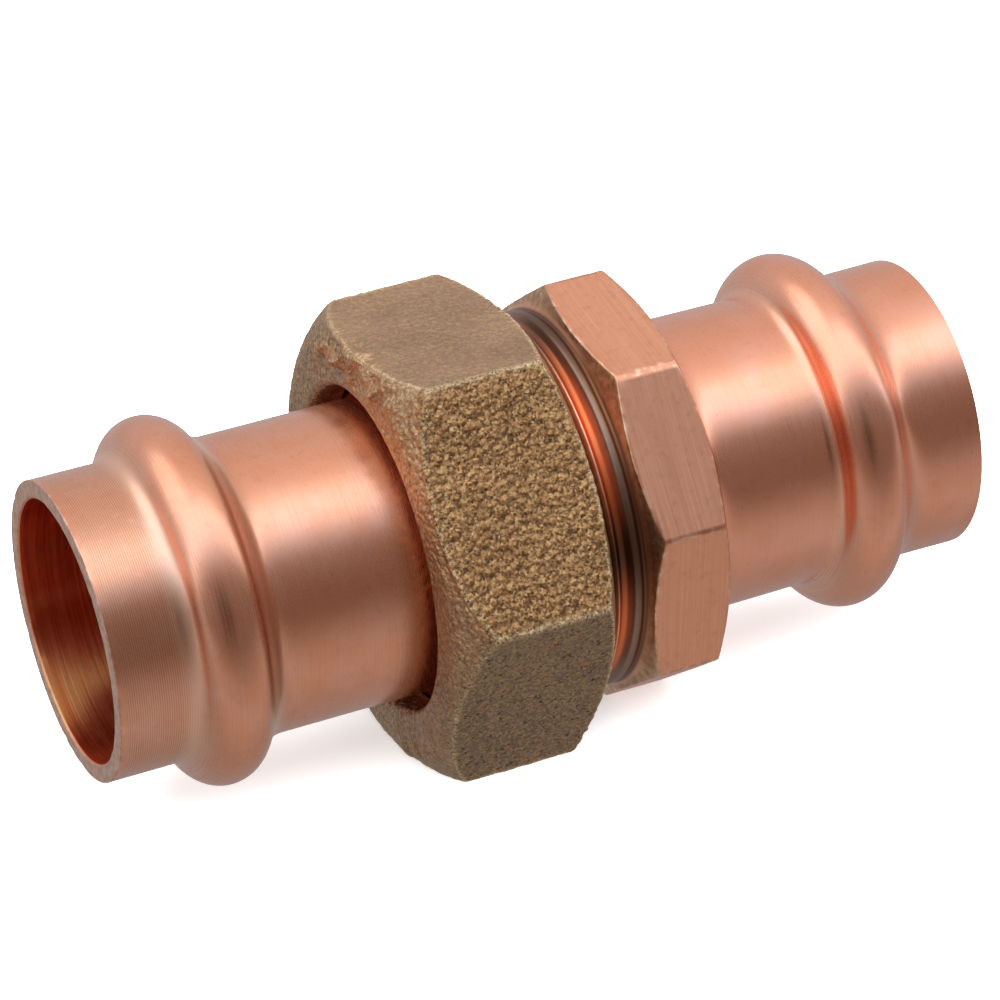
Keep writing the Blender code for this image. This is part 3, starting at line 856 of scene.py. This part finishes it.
class Copper(Paint):
    """Drawn or machined copper. Its noises run as lines round the pipe or as soft patches."""

    def __init__(self, name, warm, pale, dark):
        super().__init__(name, 1.0)
        self.warm, self.pale, self.dark = warm, pale, dark
        self.lines = self.noise((11.0, 0.09, 0.09), 3.0, 0.6)
        self.fine = self.noise((24.0, 0.5, 0.5), 2.0, 0.6, 3.1)
        self.blotch = self.noise(0.20, 4.0, 0.55, 7.7)
        self.mottle = self.noise(1.3, 3.0, 0.6, 8.8)
        self.speck = self.noise(3.4, 1.0, 0.5, 1.7)
        self.streak = self.noise((3.2, 0.06, 0.06), 3.0, 0.6, 5.5)
        self.tick = self.noise(1.1, 2.0, 0.6, 6.6)
        self.along = self.station()

    def drawn(self):
        """Plain barrel: warm and pale patches, brush lines and dark specks."""
        tone = self.mix(self.span(self.blotch, 0.35, 0.68), self.warm, self.pale)
        tone = self.mix(self.span(self.mottle, 0.55, 0.75, 0.0, 0.16), tone, self.dark)
        tone = self.mix(self.span(self.lines, 0.45, 0.80, 0.0, 0.10), tone, self.dark)
        return self.mix(self.span(self.speck, 0.77, 0.83, 0.0, 0.55), tone, self.dark)

    def grooved(self, tone):
        """Fine turned lines, painted dark in the grooves as shade and pale on the crests as a
        highlight.
        """
        turned = self.mark("turned")
        wave = self.math("SINE", self.times(self.along, TAU / GROOVE_PITCH))
        wave = self.times(self.math("MULTIPLY_ADD", wave, 0.5, 0.5),
                          self.span(self.mottle, 0.10, 0.45))
        # Painted shade in the lathe grooves.
        tone = self.mix(self.times(self.times(wave, turned), 0.48), tone, self.dark)
        crest = self.times(self.math("SUBTRACT", 1.0, wave), turned)
        # Painted highlight on the lathe crests.
        return self.mix(self.times(crest, 0.18), tone, PAINTED_HIGHLIGHT_COPPER)

    def milled(self):
        """Flats of the wrench part."""
        tone = self.mix(self.span(self.lines, 0.35, 0.70), rgb(0.84, 0.36, 0.21),
                        rgb(0.93, 0.437, 0.27))
        return self.mix(self.span(self.mottle, 0.50, 0.75, 0.0, 0.22), tone, self.dark)

    def cone(self):
        """Chamfer behind the flats, with painted shade in places."""
        tone = self.mix(self.span(self.mottle, 0.35, 0.65), rgb(0.62, 0.34, 0.19),
                        rgb(0.88, 0.55, 0.33))
        # Painted shade on the chamfer, by angle round the axis.
        return self.mix(self.times(self.mark("painted_shade"), 0.6), tone, rgb(0.20, 0.10, 0.05))

    def heated(self):
        """Bands of heat colour along the neck, with painted highlights and painted shade in places
        round it.
        """
        first, last = NECK_TINTS[0][0], NECK_TINTS[-1][0]
        ragged = self.plus(self.along, 0.35, self.math("SUBTRACT", self.mottle, 0.5))
        place_on_neck = self.math("MULTIPLY_ADD", ragged, 1 / (last - first),
                                  -first / (last - first))
        tone = self.ramp(place_on_neck, [((tint[0] - first) / (last - first), rgb(*tint[1:]))
                                         for tint in NECK_TINTS])
        # Painted highlight on the red band of the neck.
        flame = self.times(self.mark("flame"), self.span(self.along, 43.7, 43.2))
        tone = self.mix(flame, tone, rgb(1.0, 0.50, 0.18))
        # Painted shade round the neck.
        painted_shade = self.math("MULTIPLY", self.mark("painted_shade"), 0.95, clamp=True)
        return self.mix(painted_shade, tone, rgb(0.13, 0.065, 0.04))

    def inside(self):
        """Streaked bore, more orange where light falls into the mouth."""
        glow = self.mark("glow")
        shade = self.mix(glow, rgb(0.76, 0.165, 0.065), rgb(0.95, 0.34, 0.11))
        light = self.mix(glow, rgb(0.90, 0.250, 0.115), rgb(1.0, 0.50, 0.20))
        return self.mix(self.span(self.streak, 0.40, 0.60), shade, light)

    def sawn(self):
        """Dull cut end of the tube."""
        return self.mix(self.span(self.mottle, 0.4, 0.6), rgb(0.58, 0.345, 0.245),
                        rgb(0.74, 0.46, 0.335))

    def worn(self, tone):
        """Edges, dark at the burrs and bright where they rub."""
        edge = self.mark("edge")
        burr = self.times(edge, self.span(self.tick, 0.42, 0.58))
        tone = self.mix(self.times(burr, 0.35), tone, self.dark)
        shine = self.times(edge, self.span(self.tick, 0.50, 0.36))
        return self.mix(self.times(shine, 0.45), tone, rgb(1.0, 0.70, 0.52))

    def gloss(self, rough):
        """Roughness: a little more on every place that isn't plain barrel."""
        total = self.span(self.lines, 0.3, 0.7, rough - 0.03, rough + 0.05)
        for finish, amount in (("milled", 0.12), ("neck", 0.11), ("crease_highlight", 0.14),
                               ("chamfer", 0.15), ("cut", 0.20), ("bore", 0.04)):
            total = self.plus(total, amount, self.mark(finish))
        return self.plus(total, 0.22, self.times(self.mark("bore"), self.mark("glow")))

    def height(self):
        """Height of the brush lines, deeper on the flats and in the bore, calm beside the beads
        where the pale highlight is painted.
        """
        total = self.plus(self.times(self.fine, 0.35), 0.45, self.lines)
        total = self.plus(total, 0.35, self.mottle)
        total = self.plus(total, 1.6, self.times(self.mark("milled"), self.lines))
        total = self.plus(total, 6.0, self.times(self.mark("bore"), self.streak))
        calm = self.math("SUBTRACT", 1.0, self.times(self.mark("crease_highlight"), 0.8))
        return self.times(total, calm)


def copper(name, warm, pale, dark, rough):
    """Copper with the right finish, painted highlight and painted shade on every place that the
    mesh marks.
    """
    paint = Copper(name, warm, pale, dark)
    tone = paint.grooved(paint.drawn())
    tone = paint.mix(paint.mark("milled"), tone, paint.milled())
    tone = paint.mix(paint.mark("chamfer"), tone, paint.cone())
    tone = paint.mix(paint.mark("neck"), tone, paint.heated())
    tone = paint.mix(paint.mark("bore"), tone, paint.inside())
    # Painted highlight beside the beads.
    tone = paint.mix(paint.times(paint.mark("crease_highlight"), 0.8), tone, PAINTED_HIGHLIGHT_COPPER)
    tone = paint.mix(paint.mark("cut"), tone, paint.sawn())
    paint.colour(paint.worn(tone))
    paint.roughness(paint.gloss(rough))
    paint.relief(paint.height(), 0.0045)
    return paint.material


class Bronze(Paint):
    """Sand cast bronze, with painted shade in the hollows and rubbed golden on the edges, partly as
    a painted highlight.
    """

    def __init__(self, name):
        super().__init__(name, 1.0, specular=0.4)
        self.coarse = self.mark("coarse")
        self.dull_and_shade = self.mark("dull_and_shade")
        self.edge = self.mark("edge")
        self.fine = self.noise(5.0, 2.0, 0.6, 2.3)
        self.pink = self.noise(1.3, 3.0, 0.6, 4.4)
        grain = self.noise(1.7, 3.0, 0.66)
        pebble = self.cells(1.75, soft=0.4)["Distance"]
        self.dome = self.math("SUBTRACT", 0.95, pebble)
        self.sort = self.times(self.cells(5.0)["Color"], 1.0)
        mixed = self.plus(self.times(grain, 0.25), 0.50, self.fine)
        self.mixed = self.plus(mixed, 0.25, self.dome)
        blemish = self.noise(2.1, 1.0, 0.5, 6.7)
        self.pock = self.times(self.span(blemish, 0.36, 0.31), self.dull_and_shade)

    def skin(self):
        """Broad patches, from brown on the fine flats to golden on the coarse ones."""
        blotch = self.noise(0.16, 3.0, 0.5, 9.1)
        patch = self.span(blotch, 0.32, 0.66)
        smooth_tone = self.mix(patch, rgb(0.45, 0.268, 0.152), rgb(0.57, 0.340, 0.195))
        rough_tone = self.mix(patch, rgb(0.64, 0.315, 0.130), rgb(0.78, 0.390, 0.165))
        return self.mix(self.span(self.coarse, 0.15, 0.85), smooth_tone, rough_tone)

    def grained(self, tone):
        """Painted shade in the hollows, dark pits, and painted glints on top of the grain."""
        # Painted shade in the hollows of the grain.
        hollow = self.times(self.span(self.mixed, 0.50, 0.39), self.coarse)
        tone = self.mix(self.times(hollow, 0.58), tone, rgb(0.12, 0.062, 0.03))
        pit = self.times(self.span(self.fine, 0.36, 0.26), 0.35)
        tone = self.mix(pit, tone, rgb(0.16, 0.10, 0.06))
        # Painted glints on the grain tops.
        glint = self.times(self.span(self.mixed, 0.56, 0.66), self.coarse)
        tone = self.mix(self.times(glint, 0.48), tone, rgb(0.98, 0.64, 0.32))
        return self.mix(self.span(self.pink, 0.56, 0.72, 0.0, 0.25), tone, rgb(0.50, 0.25, 0.16))

    def sanded(self, tone):
        """Single grains of sand, some painted bright as glints and some left dim."""
        strength = self.math("MULTIPLY_ADD", self.coarse, 0.46, 0.11)
        # Painted glints on single grains.
        bright = self.times(self.span(self.sort, 0.48, 0.85), strength)
        tone = self.mix(bright, tone, rgb(1.0, 0.66, 0.30))
        dim = self.times(self.span(self.sort, 0.50, 0.18), strength)
        return self.mix(self.times(dim, 0.95), tone, rgb(0.075, 0.045, 0.022))

    def blemished(self, tone):
        """Rust flecks and pocks on the dull flats."""
        fleck = self.times(self.span(self.pink, 0.62, 0.66), self.dull_and_shade)
        tone = self.mix(self.times(fleck, 0.85), tone, rgb(0.60, 0.27, 0.11))
        return self.mix(self.times(self.pock, 0.9), tone, rgb(0.05, 0.035, 0.025))

    def worn(self, tone):
        """Rubbed edges, partly a painted highlight, and rust on the lumps."""
        # Rubbed golden edges, partly a painted highlight.
        rub = self.times(self.edge, self.span(self.fine, 0.42, 0.52))
        tone = self.mix(rub, tone, rgb(1.0, 0.73, 0.43))
        rust = self.times(self.mark("lump"), self.span(self.pink, 0.40, 0.60))
        return self.mix(self.times(rust, 0.6), tone, rgb(0.50, 0.20, 0.08))

    def height(self):
        """Height of the grain, the pebbles, the pocks and the single sand grains."""
        depth = self.math("MULTIPLY_ADD", self.coarse, 1.0, 0.09)
        depth = self.plus(depth, 0.5, self.edge)
        total = self.times(self.mixed, depth)
        total = self.plus(total, 0.95, self.times(self.dome, self.coarse))
        total = self.plus(total, -0.14, self.pock)
        return self.plus(total, 0.10, self.times(self.sort, depth))


def bronze():
    """Cast bronze outside, and plain dark bronze inside where it was machined."""
    paint = Bronze("cast_bronze")
    cast = paint.mark("cast")
    tone = paint.grained(paint.skin())
    # Painted shade over the dull places: the lower flats and parts of the end faces.
    tone = paint.mix(paint.times(paint.dull_and_shade, 0.75), tone, rgb(0.20, 0.150, 0.105))
    tone = paint.worn(paint.blemished(paint.sanded(tone)))
    inner = paint.mix(paint.span(paint.fine, 0.3, 0.7), rgb(0.20, 0.11, 0.05),
                      rgb(0.34, 0.20, 0.09))
    paint.colour(paint.mix(cast, inner, tone))
    dull = paint.span(paint.fine, 0.35, 0.65, 0.50, 0.36)
    paint.roughness(paint.plus(dull, 0.12, paint.dull_and_shade))
    paint.relief(paint.times(paint.height(), cast), 0.62)
    return paint.material


def rubber():
    """Black sealing rubber with a faint bloom."""
    paint = Paint("seal_rubber", 0.0, specular=0.35)
    bloom = paint.noise(0.8, 3.0, 0.5)
    skin = paint.noise(7.0, 2.0, 0.5, 1.1)
    paint.colour(paint.mix(paint.span(bloom, 0.35, 0.7), rgb(0.012, 0.012, 0.013),
                           rgb(0.030, 0.029, 0.029)))
    paint.roughness(paint.span(skin, 0.3, 0.7, 0.42, 0.58))
    paint.relief(skin, 0.01)
    return paint.material


def floor_paint():
    """Matt white studio floor."""
    paint = Paint("studio_floor", 0.0, specular=0.2)
    cloud = paint.noise(0.004, 2.0, 0.5)
    paint.colour(paint.mix(cloud, rgb(0.93, 0.93, 0.93), rgb(0.95, 0.95, 0.95)))
    paint.roughness(0.9)
    paint.shader.inputs["Emission Color"].default_value = (1.0, 1.0, 1.0, 1.0)
    paint.shader.inputs["Emission Strength"].default_value = 0.35
    return paint.material


# ---- the object

def place(skin, name, body, node, material, slot):
    """Make a piece, dress it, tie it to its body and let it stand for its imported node."""
    item = skin.make(name)
    item.data.materials.append(material)
    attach(item, body)
    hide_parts(node)
    return item


def build_object():
    """The three metal pieces and the two rings, each on its own body."""
    tail_copper = copper("wrought_copper", rgb(0.86, 0.36, 0.21), rgb(0.89, 0.41, 0.27),
                         rgb(0.42, 0.16, 0.08), 0.26)
    end_copper = copper("machined_copper", rgb(0.92, 0.39, 0.235), rgb(0.95, 0.43, 0.29),
                        rgb(0.46, 0.18, 0.10), 0.24)
    black = rubber()
    place(tailpiece_skin(), "press_tailpiece", "tailpiece", "tailpiece", tail_copper,
          "wrought_copper")
    place(end_skin(), "press_threaded_end", "threaded_end", "threaded_end", end_copper,
          "machined_copper")
    place(nut_skin(), "cast_union_nut", "union_nut", "union_nut", bronze(), "cast_bronze")
    place(seal_skin(TAIL_BEAD_AT), "tail_seal", "tailpiece", "tail_seal_ring", black,
          "seal_rubber")
    place(seal_skin(END_BEAD_AT), "threaded_end_seal", "threaded_end",
          "threaded_end_seal_ring", black, "seal_rubber")


# ---- studio

def build_floor():
    """White floor under the nut. Reflections don't see it."""
    mesh = bpy.data.meshes.new("studio_floor")
    half = 3.0
    corners = [(x * half, y * half, CAD_BOX[0].z)
               for x, y in ((-1, -1), (1, -1), (1, 1), (-1, 1))]
    mesh.from_pydata(corners, [], [(0, 1, 2, 3)])
    mesh.materials.append(floor_paint())
    item = linked("studio_floor", mesh)
    item.visible_glossy = False


# Brightness and tint of the studio round the pipe's axis: degrees from straight up towards the
# front, then red, green and blue. Brightest just in front of overhead, darkest in front.
STUDIO = [
    (-180, 0.40, 0.40, 0.40), (-140, 0.36, 0.37, 0.38), (-105, 0.50, 0.53, 0.57),
    (-60, 0.66, 0.66, 0.68), (-20, 0.84, 0.83, 0.82), (-2, 1.00, 1.08, 1.14),
    (10, 1.60, 1.82, 2.00), (27, 1.60, 1.85, 2.10), (40, 0.80, 0.96, 1.20),
    (54, 0.30, 0.29, 0.29),
    (76, 0.23, 0.20, 0.18), (98, 0.21, 0.18, 0.16), (124, 0.44, 0.43, 0.42),
    (150, 0.52, 0.52, 0.52), (180, 0.40, 0.40, 0.40),
]


# Round patches in it: heading, inner and outer angle in degrees, how strong, and what light.
STUDIO_PATCHES = [
    ((-0.55, 0.25, 0.78), 14, 34, 0.9, (1.60, 1.80, 1.95)),
    ((-0.30, -0.93, 0.22), 5, 24, 0.7, (0.05, 0.03, 0.02)),
]


def build_world():
    """A seamless studio, as bands of light that run along the pipe."""
    world = bpy.data.worlds.new("studio")
    world.use_nodes = True
    graph = Graph(world.node_tree, "Generated")
    brightest = max(max(band[1:]) for band in STUDIO)

    def dimmed(levels):
        return rgb(*[level / brightest for level in levels])

    away = graph.axes()
    turn = graph.math("ARCTAN2", graph.times(away["Y"], -1.0), away["Z"])
    share = graph.math("MULTIPLY_ADD", turn, 1 / TAU, 0.5)
    seen = graph.ramp(share, [(band[0] / 360 + 0.5, dimmed(band[1:])) for band in STUDIO])
    for heading, inner, outer, strength, levels in STUDIO_PATCHES:
        fade = graph.span(graph.toward(heading), math.cos(math.radians(outer)),
                          math.cos(math.radians(inner)), 0.0, strength)
        seen = graph.mix(fade, seen, dimmed(levels))
    background = graph.nodes["Background"]
    graph.links.new(seen, background.inputs["Color"])
    background.inputs["Strength"].default_value = brightest
    bpy.context.scene.world = world


def build_lights():
    """One soft box that whitens the floor. Reflections don't see it."""
    data = bpy.data.lights.new("floor_wash", "AREA")
    data.shape = "RECTANGLE"
    data.size, data.size_y = 2.4, 2.4
    data.energy = 80.0
    item = linked("floor_wash", data)
    item.location = (0.0, -0.2, 0.7)
    item.rotation_euler = (-item.location).to_track_quat("-Z", "Y").to_euler()
    item.visible_glossy = False


def build_camera():
    """Long lens, high on the tail mouth's side of the fitting."""
    elevation = math.radians(26.33)
    heading = math.radians(21.66)
    roll = math.radians(-5.22)
    distance = 0.3986
    aim = Vector((0.00012, 0.00047, 0.00098))
    forward = Vector((math.cos(elevation) * math.sin(heading),
                      math.cos(elevation) * math.cos(heading), -math.sin(elevation)))
    level_right = forward.cross(Vector((0, 0, 1))).normalized()
    level_up = level_right.cross(forward)
    right = level_right * math.cos(roll) + level_up * math.sin(roll)
    up = level_up * math.cos(roll) - level_right * math.sin(roll)
    data = bpy.data.cameras.new("product_camera")
    data.lens = 170.43
    data.sensor_width = 36.0
    data.clip_start = 0.01
    item = linked("product_camera", data)
    turn = Matrix((right, up, -forward)).transposed().to_4x4()
    item.matrix_world = Matrix.Translation(aim - forward * distance) @ turn
    bpy.context.scene.camera = item


build_object()
build_floor()
build_world()
build_lights()
build_camera()
bpy.context.scene.view_settings.view_transform = "Standard"
